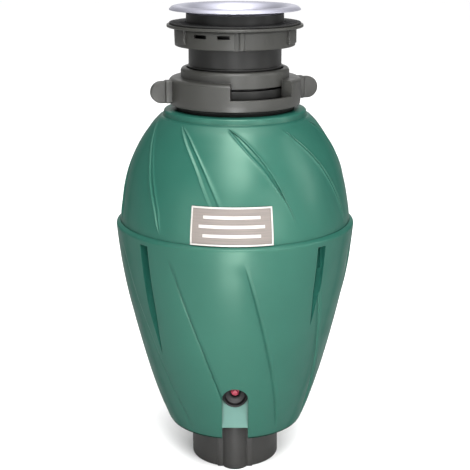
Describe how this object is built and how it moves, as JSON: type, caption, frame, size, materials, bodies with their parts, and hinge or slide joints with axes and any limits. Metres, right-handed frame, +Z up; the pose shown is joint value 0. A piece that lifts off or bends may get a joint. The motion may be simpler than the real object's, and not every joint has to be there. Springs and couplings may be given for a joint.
{
  "type": "kitchen garbage disposal",
  "caption": "Continuous-feed food waste disposer with a tapered sound-insulating shell, twist-lock sink mount, reset button and rear drain outlet.",
  "frame": {"origin": "centre of the round base's underside, on the surface that the disposer stands on", "axes": "+Z up along the motor shaft to the sink flange; front, with the reset button, towards -Y; drain outlet towards +Y"},
  "size_m": [0.2144, 0.2282, 0.419],
  "materials": {
    "green_shell": "smooth moulded, semi-gloss",
    "stainless": "polished and brushed stainless steel",
    "dark_steel": "dark coated steel",
    "dark_plastic": "moulded, fine texture",
    "black_plastic": "moulded, satin",
    "collar_plastic": "moulded, satin",
    "rubber": "matte",
    "motor_iron": "plated steel",
    "copper": "enamelled copper",
    "ferrite": "ground ferrite",
    "red_plastic": "moulded",
    "badge_metal": "brushed, pale border",
    "circuit_board": "resin board"
  },
  "bodies": {
    "housing": {"upper_shell": "green_shell", "lower_shell": "green_shell", "sink_flange": "stainless", "shredder_ring": "stainless", "lower_bearing": "stainless", "upper_bearing": "stainless", "outlet_flange": "stainless", "shell_screw_1": "stainless", "shell_screw_2": "stainless", "shell_screw_3": "stainless", "shell_screw_4": "stainless", "backup_flange": "dark_steel", "lower_end_bell": "dark_steel", "upper_bearing_seat": "dark_steel", "mounting_nut": "dark_plastic", "hopper": "dark_plastic", "drain_chamber": "dark_plastic", "base_cover": "dark_plastic", "brush_holder_right": "dark_plastic", "brush_holder_left": "dark_plastic", "overload_switch": "dark_plastic", "flange_sleeve": "black_plastic", "reset_bezel": "black_plastic", "fibre_gasket": "rubber", "neck_cushion": "rubber", "splash_guard": "rubber", "shaft_seal": "rubber", "cord_gland": "rubber", "motor_can": "motor_iron", "magnet_1": "ferrite", "magnet_2": "ferrite", "brush_right": "ferrite", "brush_left": "ferrite", "rectifier_board": "circuit_board", "badge": "badge_metal"},
    "rotor": {"rotor_shaft": "stainless", "armature_core": "motor_iron", "armature_winding": "copper", "commutator": "copper", "turntable": "stainless", "turntable_nut": "stainless", "impeller_pin_1": "stainless", "impeller_pin_2": "stainless"},
    "impeller_1": {"impeller_1": "stainless"},
    "impeller_2": {"impeller_2": "stainless"},
    "mounting_ring": {"mounting_ring": "collar_plastic"},
    "reset_button": {"reset_button": "red_plastic"}
  },
  "joints": [
    {"name": "rotor_spin", "type": "hinge", "parent": "housing", "child": "rotor", "pos_m": [0, 0, 0.15], "axis": [0, 0, 1], "continuous": true},
    {"name": "impeller_1_swivel", "type": "hinge", "parent": "rotor", "child": "impeller_1", "pos_m": [0.044, 0, 0.236], "axis": [0, 0, 1], "continuous": true},
    {"name": "impeller_2_swivel", "type": "hinge", "parent": "rotor", "child": "impeller_2", "pos_m": [-0.044, 0, 0.236], "axis": [0, 0, 1], "continuous": true},
    {"name": "mounting_ring_turn", "type": "hinge", "parent": "housing", "child": "mounting_ring", "pos_m": [0, 0, 0.35], "axis": [0, 0, 1], "range_deg": [0, 35]},
    {"name": "reset_button_press", "type": "slide", "parent": "housing", "child": "reset_button", "axis": [0, 1, 0], "range_m": [0, 0.0025], "stiffness_N_per_m": 400, "springref_m": -0.0005}
  ]
}
